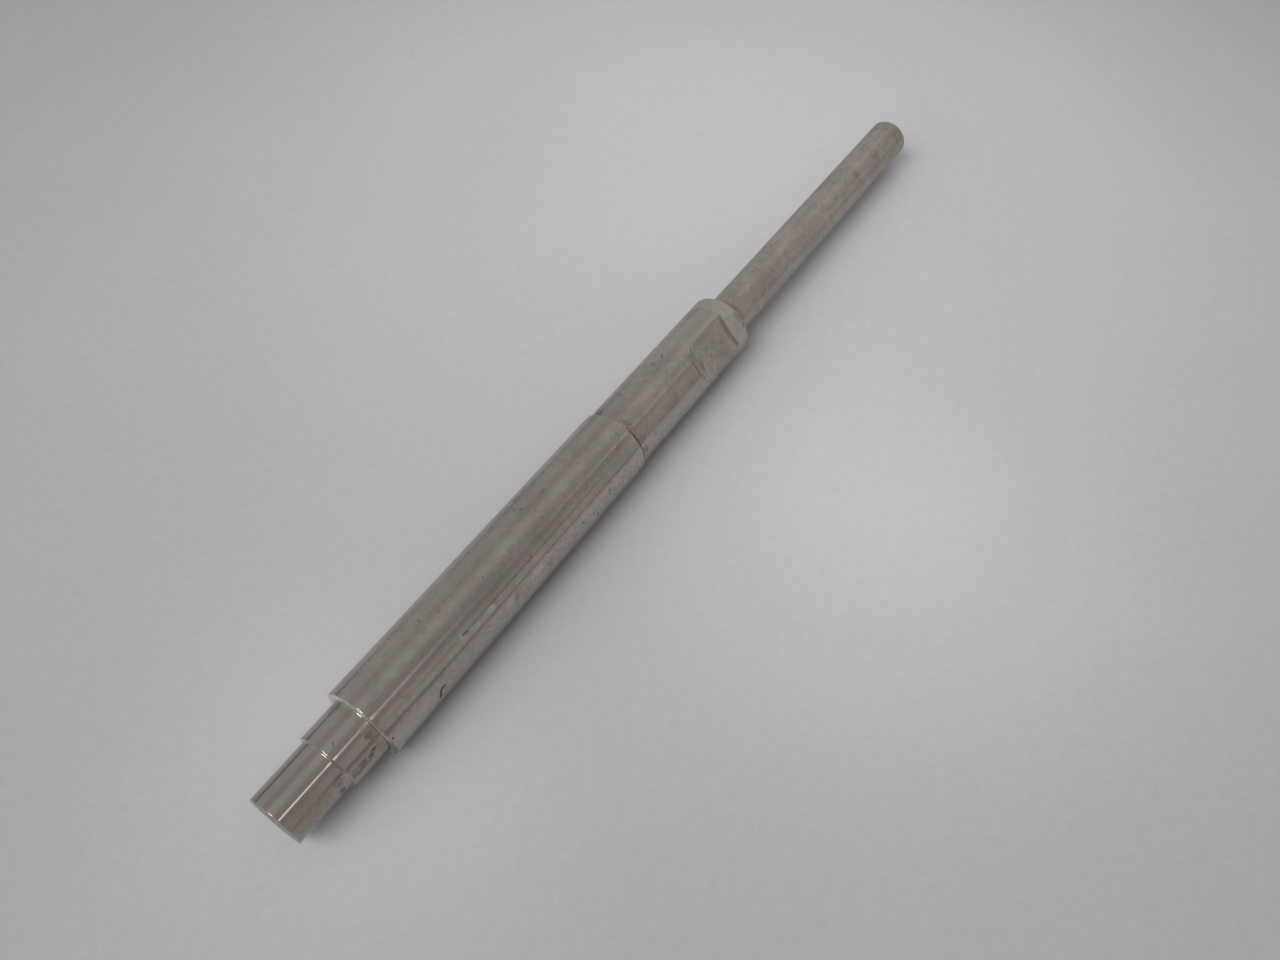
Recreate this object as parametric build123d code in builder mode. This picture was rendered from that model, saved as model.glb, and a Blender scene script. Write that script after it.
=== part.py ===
"""Stepped shaft, turned and ground from one steel bar.

The shaft lies on its largest diameter with its axis along X. The row origin is under the middle of
its length, on the surface that it lies on. Its near end, with the two ground seats, is at -X, and the
plain rod is at +X. All sizes are millimetres.
"""

import os

from build123d import *

# Diameters, from the near end to the far end
SPIGOT_DIA = 22.2
JOURNAL_DIA = 25.0
BODY_DIA = 31.75
NECK_DIA = 30.0
ROD_DIA = 20.0

# Lengths of the same five steps
SPIGOT_LENGTH = 24.3
JOURNAL_LENGTH = 16.8
BODY_LENGTH = 152.1
NECK_LENGTH = 85.8
ROD_LENGTH = 174.0

# Edge breaks on the outside corners, and fillets where a step meets its shoulder
SEAT_CHAMFER = 0.3
BODY_CHAMFER = 0.4
COLLAR_CHAMFER = 1.0
ROD_CHAMFER = 1.0
SEAT_FILLET = 0.5
ROD_FILLET = 1.0

# Grinding relief, turned into the neck against the body's far shoulder
RELIEF_WIDTH = 1.2
RELIEF_DEPTH = 0.35
RELIEF_FILLET = 0.3

# Pair of opposed wrench flats, milled into the neck short of its far end
ACROSS_FLATS = 24.0
FLAT_LENGTH = 27.0
FLAT_COLLAR = 8.4
FLAT_CORNER = 0.4
FLAT_ROLL = 47.5  # degrees that the first flat's normal leans from straight up towards -Y

# 60 degree centre holes that the shaft was turned and ground between
CENTRE_PILOT_DIA = 2.5
CENTRE_MOUTH_DIA = 5.3
CENTRE_DEPTH = 5.5
CENTRE_ANGLE = 60

# Radii and stations along the axis, measured from the near end
spigot_r = SPIGOT_DIA / 2
journal_r = JOURNAL_DIA / 2
body_r = BODY_DIA / 2
neck_r = NECK_DIA / 2
rod_r = ROD_DIA / 2
journal_x = SPIGOT_LENGTH
body_x = journal_x + JOURNAL_LENGTH
neck_x = body_x + BODY_LENGTH
rod_x = neck_x + NECK_LENGTH
total_length = rod_x + ROD_LENGTH
flat_x = rod_x - FLAT_COLLAR - FLAT_LENGTH / 2

# The axial plane: its own X runs along the axis from the near end, and its own Y is the radius
near_end = Vector(-total_length / 2, 0, body_r)
axial_plane = Plane(origin=near_end, x_dir=(1, 0, 0), z_dir=(0, -1, 0))
shaft_axis = Axis(near_end, (1, 0, 0))

with BuildPart() as shaft:
    # Turned form: half of the lengthwise section, swept once round the axis
    with BuildSketch(axial_plane) as half_section:
        with BuildLine():
            Polyline(
                (0, 0),
                (0, spigot_r),
                (journal_x, spigot_r),
                (journal_x, journal_r),
                (body_x, journal_r),
                (body_x, body_r),
                (neck_x, body_r),
                (neck_x, neck_r - RELIEF_DEPTH),
                (neck_x + RELIEF_WIDTH, neck_r - RELIEF_DEPTH),
                (neck_x + RELIEF_WIDTH, neck_r),
                (rod_x, neck_r),
                (rod_x, rod_r),
                (total_length, rod_r),
                (total_length, 0),
                close=True,
            )
        make_face()

        def corners(*points):
            """Return the section's own corners nearest to the given (station, radius) points."""
            return [half_section.vertices().sort_by_distance(point)[0] for point in points]

        chamfer(corners((0, spigot_r), (journal_x, journal_r)), SEAT_CHAMFER)
        chamfer(corners((body_x, body_r), (neck_x, body_r)), BODY_CHAMFER)
        chamfer(corners((rod_x, neck_r)), COLLAR_CHAMFER)
        chamfer(corners((total_length, rod_r)), ROD_CHAMFER)
        fillet(corners((journal_x, spigot_r), (body_x, journal_r)), SEAT_FILLET)
        fillet(
            corners(
                (neck_x, neck_r - RELIEF_DEPTH),
                (neck_x + RELIEF_WIDTH, neck_r - RELIEF_DEPTH),
            ),
            RELIEF_FILLET,
        )
        fillet(corners((rod_x, rod_r)), ROD_FILLET)
    revolve(axis=shaft_axis)

    # Wrench flats: each is one straight pass of the cutter, which leaves a square wall at both ends
    for roll in (FLAT_ROLL, FLAT_ROLL + 180):
        flat_plane = Plane(
            origin=near_end + Vector(flat_x, 0, 0),
            x_dir=(1, 0, 0),
            z_dir=Vector(0, 0, 1).rotate(Axis.X, roll),
        )
        with BuildSketch(flat_plane.offset(ACROSS_FLATS / 2)):
            Rectangle(FLAT_LENGTH, NECK_DIA)
        extrude(amount=neck_r, mode=Mode.SUBTRACT)
        flat_normal = Axis(flat_plane.origin, flat_plane.z_dir)
        floor = shaft.faces().filter_by(flat_plane).sort_by(flat_normal)[-1]
        fillet(floor.edges().filter_by(Axis.X, reverse=True), FLAT_CORNER)

    # Centre holes, drilled in from both end faces
    ends = shaft.faces().filter_by(Axis.X).sort_by(Axis.X)
    with Locations(Plane(ends[0]), Plane(ends[-1])):
        CounterSinkHole(
            radius=CENTRE_PILOT_DIA / 2,
            counter_sink_radius=CENTRE_MOUTH_DIA / 2,
            depth=CENTRE_DEPTH,
            counter_sink_angle=CENTRE_ANGLE,
        )

shaft.part.label = "shaft"

os.makedirs("parts", exist_ok=True)
export_step(shaft.part, "parts/shaft.step")
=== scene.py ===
"""Stepped steel shaft: its turned mesh, its finishes and the studio it lies in.

The shaft is one turned piece, so one mesh stands for the one node. Sizes are in millimetres and angles
in degrees until a vertex is placed. A station is a distance along the axis from the near end. A roll is
an angle round the axis from straight up, towards -Y.
"""

from __future__ import annotations

import logging
import math
from dataclasses import dataclass, field
from enum import Enum
from typing import ClassVar

import bmesh
import bpy
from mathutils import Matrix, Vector

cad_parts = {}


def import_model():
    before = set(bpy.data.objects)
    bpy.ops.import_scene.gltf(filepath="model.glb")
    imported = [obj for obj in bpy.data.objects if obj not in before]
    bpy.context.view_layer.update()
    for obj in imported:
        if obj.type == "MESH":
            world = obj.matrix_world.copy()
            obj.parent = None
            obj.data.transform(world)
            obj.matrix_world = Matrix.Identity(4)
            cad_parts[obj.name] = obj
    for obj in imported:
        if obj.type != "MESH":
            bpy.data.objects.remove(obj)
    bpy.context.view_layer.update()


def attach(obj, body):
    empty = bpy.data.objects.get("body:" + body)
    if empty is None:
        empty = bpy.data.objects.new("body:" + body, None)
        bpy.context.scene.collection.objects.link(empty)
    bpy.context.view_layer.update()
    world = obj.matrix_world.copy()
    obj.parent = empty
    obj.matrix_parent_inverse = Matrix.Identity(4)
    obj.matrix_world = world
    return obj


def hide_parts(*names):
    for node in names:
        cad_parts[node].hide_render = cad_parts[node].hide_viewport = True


log = logging.getLogger("stepped_shaft")

MM = 0.001
Colour = tuple[float, float, float]
Place = tuple[float, float, float]
Pair = tuple[float, float]
Feeds = dict[str | int, object]
Socket = bpy.types.NodeSocket


class Zone(Enum):
    """Stretches of the shaft's surface, each with a finish of its own."""

    CENTRE = "centre_hole"
    END_FACE = "end_face"
    SPIGOT = "spigot"
    JOURNAL = "journal"
    SHOULDER = "shoulder"
    FACE = "shoulder_face"
    BODY = "body"
    RELIEF = "relief"
    NECK = "neck"
    FLAT = "wrench_flat"
    SLOPE = "flat_slope"
    FLAT_WALL = "flat_wall"
    CORNER = "flat_corner"
    COLLAR = "collar"
    ROD = "rod"


class Grain(Enum):
    """The way that the tool's fine lines run."""

    ROUND = "round the shaft"
    RINGS = "in rings on a faced end"
    ACROSS = "across a milled flat"


@dataclass(frozen=True)
class ShaftSizes:
    """Sizes of the turned steps, from the near end to the far end."""

    spigot_dia: float = 22.2
    journal_dia: float = 25.0
    body_dia: float = 31.75
    neck_dia: float = 30.0
    rod_dia: float = 20.0
    spigot_length: float = 24.3
    journal_length: float = 16.8
    body_length: float = 152.1
    neck_length: float = 85.8
    rod_length: float = 174.0
    seat_chamfer: float = 0.3
    body_chamfer: float = 0.4
    collar_chamfer: float = 1.0
    rod_chamfer: float = 1.0
    seat_fillet: float = 0.5
    rod_fillet: float = 1.0
    relief_width: float = 1.2
    relief_depth: float = 0.35
    relief_fillet: float = 0.3
    centre_mouth_dia: float = 5.3
    centre_pilot_dia: float = 2.5
    centre_depth: float = 5.5
    centre_angle: float = 60.0

    @property
    def journal_at(self) -> float:
        """Station of the shoulder between the spigot and the journal."""
        return self.spigot_length

    @property
    def body_at(self) -> float:
        """Station of the shoulder between the journal and the body."""
        return self.journal_at + self.journal_length

    @property
    def neck_at(self) -> float:
        """Station of the body's far shoulder."""
        return self.body_at + self.body_length

    @property
    def rod_at(self) -> float:
        """Station of the neck's far face, where the rod starts."""
        return self.neck_at + self.neck_length

    @property
    def total(self) -> float:
        """Length from end face to end face."""
        return self.rod_at + self.rod_length

    def place(self, station: float, radius: float, roll: float) -> Vector:
        """Turn a station, radius and roll into a point of the shared frame.

        Args:
            station: Distance along the axis from the near end.
            radius: Distance from the axis.
            roll: Angle round the axis from straight up, towards -Y.

        Returns:
            The point, in metres.
        """
        turn = math.radians(roll)
        along = station - self.total / 2
        rise = self.body_dia / 2 + radius * math.cos(turn)
        return Vector((along, -radius * math.sin(turn), rise)) * MM

    def locate(self, point: Vector) -> tuple[float, float, float]:
        """Read a point of the shared frame back as station, radius and roll.

        Args:
            point: The point, in metres.

        Returns:
            Its station, radius and roll.
        """
        side = -point.y / MM
        rise = point.z / MM - self.body_dia / 2
        station = point.x / MM + self.total / 2
        return station, math.hypot(side, rise), math.degrees(math.atan2(side, rise))


@dataclass(frozen=True)
class WrenchFlats:
    """The pair of opposed flats milled into the neck.

    Each starts with a short slope, where the cutter came down, and ends at a square wall.

    Attributes:
        across: Distance from one floor to the other.
        slope_at: Station where the slope starts.
        start: Station where the level floor starts.
        end: Station of the wall nearer the rod.
        roll: Roll of the first flat's middle.
        corner: Radius of the corner at the wall's foot.
    """

    across: float = 24.0
    slope_at: float = 240.5
    start: float = 246.2
    end: float = 270.6
    roll: float = 47.5
    corner: float = 0.4

    FAR_ASIDE: ClassVar[float] = 80.0

    def half_angle(self, radius: float, floor: float | None = None) -> float:
        """Angle from a flat's middle to its long edge, at the level floor where no other is given."""
        return math.degrees(math.acos((self.across / 2 if floor is None else floor) / radius))

    def edge_rolls(self, radius: float) -> list[float]:
        """Rolls of the four long edges on a bar of this radius, from 0 to 360."""
        half = self.half_angle(radius)
        return [(self.roll + side + sign * half) % 360 for side in (0, 180) for sign in (-1, 1)]

    def aside(self, roll: float) -> float:
        """Angle from the middle of the nearer flat to a roll, from -90 to 90."""
        return (roll - self.roll + 90) % 180 - 90

    def off_middle(self, roll: float) -> float:
        """Angle between a roll and the middle of the nearer flat."""
        return abs(self.aside(roll))

    def clip(self, radius: float, roll: float, floor: float) -> float:
        """Radius left at a roll once the cutter has passed at this distance from the axis."""
        off = self.off_middle(roll)
        return min(radius, floor / math.cos(math.radians(off))) if off < self.FAR_ASIDE else radius


@dataclass(frozen=True)
class Ring:
    """One ring of vertices, and the band that leads to it.

    Attributes:
        station: Station of the ring.
        radius: Radius of the ring where nothing is cut.
        zone: Zone of the band.
        floor: Distance of the flats' floor from the axis, where they are cut.
    """

    station: float
    radius: float
    zone: Zone
    floor: float | None = None


class Outline:
    """Half of the lengthwise section, walked from the near end's axis to the far end's axis."""

    ARC_STEPS: ClassVar[int] = 5

    def __init__(self, sizes: ShaftSizes, flats: WrenchFlats, pitch: float, turn: float) -> None:
        """Walk the whole section.

        Args:
            sizes: Sizes of the steps.
            flats: The wrench flats, which need rings of their own.
            pitch: Greatest distance between two rings of a long run.
            turn: Angle between two vertices of a ring.
        """
        self.sizes = sizes
        self.flats = flats
        self.pitch = pitch
        self.turn = turn
        self.rings: list[Ring] = []
        self._near_end()
        self._seats()
        self._body()
        self._neck()
        self._rod()

    def _go(self, station: float, radius: float, zone: Zone, floor: float | None = None) -> None:
        """Add a straight run, divided evenly where it is long.

        Args:
            station: Station where the run ends.
            radius: Radius where the run ends.
            zone: Zone of the run.
            floor: Distance of the flats' floor from the axis, where they are cut.
        """
        parts = 1
        if self.rings:
            last = self.rings[-1]
            parts = max(1, math.ceil(abs(station - last.station) / self.pitch))
            for part in range(1, parts):
                share = part / parts
                self.rings.append(
                    Ring(
                        last.station + (station - last.station) * share,
                        last.radius + (radius - last.radius) * share,
                        zone,
                        floor,
                    )
                )
        self.rings.append(Ring(station, radius, zone, floor))

    def _arc(self, middle: Pair, size: float, start: float, zone: Zone, sweep: float = 90.0) -> None:
        """Add an arc.

        Args:
            middle: Station and radius of the arc's centre.
            size: Radius of the arc.
            start: Angle where it starts.
            zone: Zone of the arc.
            sweep: Angle that it runs through, which is negative on a broken outside edge.
        """
        for step in range(1, self.ARC_STEPS + 1):
            turn = math.radians(start + sweep * step / self.ARC_STEPS)
            self._go(middle[0] + size * math.cos(turn), middle[1] + size * math.sin(turn), zone)

    def _round(self, middle: Pair, size: float, start: float) -> None:
        """Add a broken outside edge, which wear has left round."""
        self._arc(middle, size, start, Zone.SHOULDER, -90.0)

    def _near_end(self) -> None:
        """Centre hole and end face at the near end."""
        s = self.sizes
        pilot, mouth = s.centre_pilot_dia / 2, s.centre_mouth_dia / 2
        cone = (mouth - pilot) / math.tan(math.radians(s.centre_angle / 2))
        self._go(s.centre_depth, 0, Zone.CENTRE)
        self._go(s.centre_depth, pilot, Zone.CENTRE)
        self._go(cone, pilot, Zone.CENTRE)
        self._go(0, mouth, Zone.CENTRE)
        low = s.spigot_dia / 2 - s.seat_chamfer
        self._go(0, low, Zone.END_FACE)
        self._round((s.seat_chamfer, low), s.seat_chamfer, 180)

    def _seats(self) -> None:
        """Spigot and journal, each up to the fillet at the foot of the next shoulder."""
        s = self.sizes
        steps = (
            (s.journal_at, s.spigot_dia / 2, s.journal_dia / 2, s.seat_chamfer, Zone.SPIGOT),
            (s.body_at, s.journal_dia / 2, s.body_dia / 2, s.body_chamfer, Zone.JOURNAL),
        )
        for shoulder, low, high, chamfer, zone in steps:
            self._go(shoulder - s.seat_fillet, low, zone)
            self._arc((shoulder - s.seat_fillet, low + s.seat_fillet), s.seat_fillet, 270, Zone.SHOULDER)
            self._go(shoulder, high - chamfer, Zone.FACE)
            self._round((shoulder + chamfer, high - chamfer), chamfer, 180)

    def _body(self) -> None:
        """Body, its far shoulder and the grinding relief."""
        s = self.sizes
        body, bottom = s.body_dia / 2, s.neck_dia / 2 - s.relief_depth
        corner = bottom + s.relief_fillet
        far = s.neck_at + s.relief_width
        self._go(s.neck_at - s.body_chamfer, body, Zone.BODY)
        self._round((s.neck_at - s.body_chamfer, body - s.body_chamfer), s.body_chamfer, 90)
        self._go(s.neck_at, corner, Zone.RELIEF)
        self._arc((s.neck_at + s.relief_fillet, corner), s.relief_fillet, 180, Zone.RELIEF)
        self._go(far - s.relief_fillet, bottom, Zone.RELIEF)
        self._arc((far - s.relief_fillet, corner), s.relief_fillet, 270, Zone.RELIEF)
        self._go(far, s.neck_dia / 2, Zone.RELIEF)

    def _neck(self) -> None:
        """Neck with the pockets of the wrench flats, and its far face."""
        s, f = self.sizes, self.flats
        neck, floor = s.neck_dia / 2, f.across / 2
        self._go(f.slope_at, neck, Zone.NECK)
        opened = range(1, round(f.half_angle(neck) / self.turn))
        for low in [neck * math.cos(math.radians(self.turn * step)) for step in opened] + [floor]:
            share = (neck - low) / (neck - floor)
            self._go(f.slope_at + (f.start - f.slope_at) * share, neck, Zone.SLOPE, low)
        self._go(f.end - f.corner, neck, Zone.NECK, floor)
        for step in range(1, self.ARC_STEPS + 1):
            turn = math.radians(90 * step / self.ARC_STEPS)
            drop = f.corner * (1 - math.cos(turn))
            self._go(f.end - f.corner * (1 - math.sin(turn)), neck, Zone.NECK, floor + drop)
        self._go(f.end, neck, Zone.NECK)
        self._go(s.rod_at - s.collar_chamfer, neck, Zone.COLLAR)
        self._go(s.rod_at, neck - s.collar_chamfer, Zone.COLLAR)

    def _rod(self) -> None:
        """Rod, its end face and the far centre hole."""
        s = self.sizes
        rod, mouth, pilot = s.rod_dia / 2, s.centre_mouth_dia / 2, s.centre_pilot_dia / 2
        cone = (mouth - pilot) / math.tan(math.radians(s.centre_angle / 2))
        self._go(s.rod_at, rod + s.rod_fillet, Zone.FACE)
        self._arc((s.rod_at + s.rod_fillet, rod + s.rod_fillet), s.rod_fillet, 180, Zone.SHOULDER)
        self._go(s.total - s.rod_chamfer, rod, Zone.ROD)
        self._go(s.total, rod - s.rod_chamfer, Zone.SHOULDER)
        self._go(s.total, mouth, Zone.END_FACE)
        self._go(s.total - cone, pilot, Zone.CENTRE)
        self._go(s.total - s.centre_depth, pilot, Zone.CENTRE)
        self._go(s.total - s.centre_depth, 0, Zone.CENTRE)


@dataclass(frozen=True)
class Mark:
    """A nick, pit or gouge pressed into the surface along a short path.

    Attributes:
        path: Station, roll and half width at each knot of the path.
        depth: Depth of the mark at its middle.
        grime: How much dirt has settled in it, from 0 to 1.
    """

    path: tuple[tuple[float, float, float], ...]
    depth: float
    grime: float = 1.0

    @property
    def widest(self) -> float:
        """Greatest half width along the path."""
        return max(knot[2] for knot in self.path)

    def reach(self, station: float, roll: float, radius: float) -> float:
        """Distance from the path, as a share of the mark's half width there.

        Args:
            station: Station of the point.
            roll: Roll of the point.
            radius: Radius of the surface.

        Returns:
            0 on the path, 1 at the mark's edge and more beyond it.
        """
        round_mm = math.radians(1) * radius
        best = math.inf
        knots = self.path if len(self.path) > 1 else self.path * 2
        for (s0, q0, w0), (s1, q1, w1) in zip(knots, knots[1:]):
            run, rise = s1 - s0, (q1 - q0) * round_mm
            off, side = station - s0, (roll - q0) * round_mm
            length = run * run + rise * rise
            share = min(1.0, max(0.0, (off * run + side * rise) / length)) if length else 0.0
            gap = math.hypot(off - run * share, side - rise * share)
            best = min(best, gap / (w0 + (w1 - w0) * share))
        return best


@dataclass(frozen=True)
class SoftPatch:
    """A soft-edged patch of colour: dirt, rust and dulled metal, and also painted sheen, reflection and
    shade.

    Attributes:
        station: Station of its middle.
        roll: Roll of its middle.
        length: Length along the axis.
        width: Width round the shaft.
        colour: Its colour.
        strength: How much of it shows at its middle.
        ragged: How much its edge is frayed.
        specks: How far it is broken up into specks.
    """

    station: float
    roll: float
    length: float
    width: float
    colour: Colour
    strength: float = 0.6
    ragged: float = 0.5
    specks: float = 0.0

    RIM: ClassVar[float] = 1.3
    HEART: ClassVar[float] = 0.2
    FRAY: ClassVar[float] = 4.0


@dataclass(frozen=True)
class DirtAndPaintedLight:
    """Colours of what has settled on the steel or bared it, and of the painted sheen, reflection and shade
    laid over it.
    """

    brown: Colour = (0.17, 0.11, 0.075)
    rust: Colour = (0.17, 0.075, 0.05)
    olive: Colour = (0.095, 0.083, 0.05)
    mud: Colour = (0.11, 0.082, 0.052)
    straw: Colour = (0.30, 0.25, 0.15)
    dull: Colour = (0.25, 0.222, 0.195)
    # Painted reflection: a thin dark line
    dark_reflection_line: Colour = (0.05, 0.042, 0.036)
    # Paler bared metal, and painted sheen that lightens the metal's reflection
    bright: Colour = (0.56, 0.52, 0.48)
    haze: Colour = (0.40, 0.352, 0.314)
    # Painted shade at the foot of a slope
    pink_shade: Colour = (0.30, 0.17, 0.16)


@dataclass(frozen=True)
class Pattern:
    """What a noise looks like.

    Attributes:
        scale: Its frequency.
        detail: Number of finer layers.
        rough: How strong the finer layers are.
        warp: How far it is distorted.
    """

    scale: float
    detail: float = 2.0
    rough: float = 0.5
    warp: float = 0.0


class Graph:
    """Short calls that wire one node tree.

    Attributes:
        MOST: Span that holds most of a noise's values.
        WIDE: Span that holds nearly all of them.
    """

    MOST: ClassVar[Pair] = (0.3, 0.7)
    WIDE: ClassVar[Pair] = (0.25, 0.75)

    def __init__(self, tree: bpy.types.NodeTree) -> None:
        """Start from an empty tree."""
        self.tree = tree
        tree.nodes.clear()

    @classmethod
    def of(cls, owner: bpy.types.Material | bpy.types.World) -> Graph:
        """Start the tree of a new material or world."""
        owner.use_nodes = True
        return cls(owner.node_tree)

    def add(self, kind: str, feeds: Feeds | None = None, **settings: object) -> bpy.types.Node:
        """Add a node.

        Args:
            kind: The node's type name.
            feeds: What its inputs are fed with, by name or number.
            **settings: Values for the node's own properties.

        Returns:
            The node.
        """
        node = self.tree.nodes.new(kind)
        for name, value in settings.items():
            setattr(node, name, value)
        for name, value in (feeds or {}).items():
            self._feed(node.inputs[name], value)
        return node

    def _feed(self, socket: Socket, value: object) -> None:
        """Link a socket to another, or set its own value.

        Args:
            socket: The input to feed.
            value: A socket, a number, a colour or a vector.
        """
        if isinstance(value, bpy.types.NodeSocket):
            self.tree.links.new(value, socket)
        elif socket.type == "RGBA" and len(value) == 3:
            socket.default_value = (*value, 1.0)
        else:
            socket.default_value = value

    def maths(self, operation: str, first: object, second: object = 0.0, *third: object) -> Socket:
        """Work on one, two or three numbers or sockets, and give the result."""
        feeds = dict(enumerate((first, second, *third)))
        return self.add("ShaderNodeMath", feeds, operation=operation).outputs[0]

    def split(self, vector: Socket) -> list[Socket]:
        """Split a vector into its three numbers."""
        return list(self.add("ShaderNodeSeparateXYZ", {0: vector}).outputs)

    def scaled(self, colour: object, factor: object) -> Socket:
        """Multiply a colour by one number."""
        feeds = {0: colour, "Scale": factor}
        return self.add("ShaderNodeVectorMath", feeds, operation="SCALE").outputs[0]

    def show(self, kind: str, surface: bpy.types.Node) -> None:
        """End the tree in an output node that shows a shader."""
        self.add(kind, {"Surface": surface.outputs[0]})

    def vector(self, x: object, y: object, z: object) -> Socket:
        """Join three numbers or sockets into a vector."""
        return self.add("ShaderNodeCombineXYZ", {0: x, 1: y, 2: z}).outputs[0]

    def noise(self, where: Socket, pattern: Pattern) -> Socket:
        """Add a noise texture.

        Args:
            where: Position to read it at.
            pattern: What it looks like.

        Returns:
            A number that stays mostly between 0.3 and 0.7.
        """
        feeds = {
            "Vector": where,
            "Scale": pattern.scale,
            "Detail": pattern.detail,
            "Roughness": pattern.rough,
            "Distortion": pattern.warp,
        }
        return self.add("ShaderNodeTexNoise", feeds).outputs[0]

    def rise(self, value: Socket, low: float, high: float, start: float = 0.0, end: float = 1.0) -> Socket:
        """Ease from start to end as the value goes from low to high."""
        feeds = dict(enumerate((value, low, high, start, end)))
        return self.add("ShaderNodeMapRange", feeds, interpolation_type="SMOOTHSTEP").outputs[0]

    def sway(self, noise: Socket, span: Pair, depth: float) -> Socket:
        """Turn a noise into a factor that goes from 1 - depth to 1 + depth over the span."""
        return self.rise(noise, *span, 1 - depth, 1 + depth)

    def blend(self, share: object, first: object, second: object) -> Socket:
        """Mix two colours, with this share of the second."""
        return self.add("ShaderNodeMix", {0: share, 6: first, 7: second}, data_type="RGBA").outputs[2]


class ShaftPlace:
    """A node group that gives a point's place on the shaft."""

    NAME: ClassVar[str] = "place_on_shaft"

    def __init__(self, sizes: ShaftSizes) -> None:
        """Build the group.

        Args:
            sizes: Sizes of the shaft.
        """
        self.tree = bpy.data.node_groups.new(self.NAME, "ShaderNodeTree")
        for name, kind in (("Station", "Float"), ("Roll", "Float"), ("Radius", "Float"), ("Point", "Vector")):
            self.tree.interface.new_socket(name, in_out="OUTPUT", socket_type=f"NodeSocket{kind}")
        graph = Graph(self.tree)
        x, y, z = graph.split(graph.add("ShaderNodeTexCoord").outputs["Object"])
        per_mm = 1 / MM
        station = graph.maths("MULTIPLY_ADD", x, per_mm, sizes.total / 2)
        side = graph.maths("MULTIPLY", y, per_mm)
        rise = graph.maths("MULTIPLY_ADD", z, per_mm, -sizes.body_dia / 2)
        roll = graph.maths("DEGREES", graph.maths("ARCTAN2", graph.maths("MULTIPLY", side, -1.0), rise))
        squares = [graph.maths("MULTIPLY", part, part) for part in (side, rise)]
        radius = graph.maths("SQRT", graph.maths("ADD", *squares))
        point = graph.vector(station, side, rise)
        graph.add("NodeGroupOutput", {"Station": station, "Roll": roll, "Radius": radius, "Point": point})

    def use(self, graph: Graph) -> dict[str, Socket]:
        """Add the group to a material and give its outputs by name."""
        node = graph.add("ShaderNodeGroup", node_tree=self.tree)
        return {socket.name: socket for socket in node.outputs}


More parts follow.
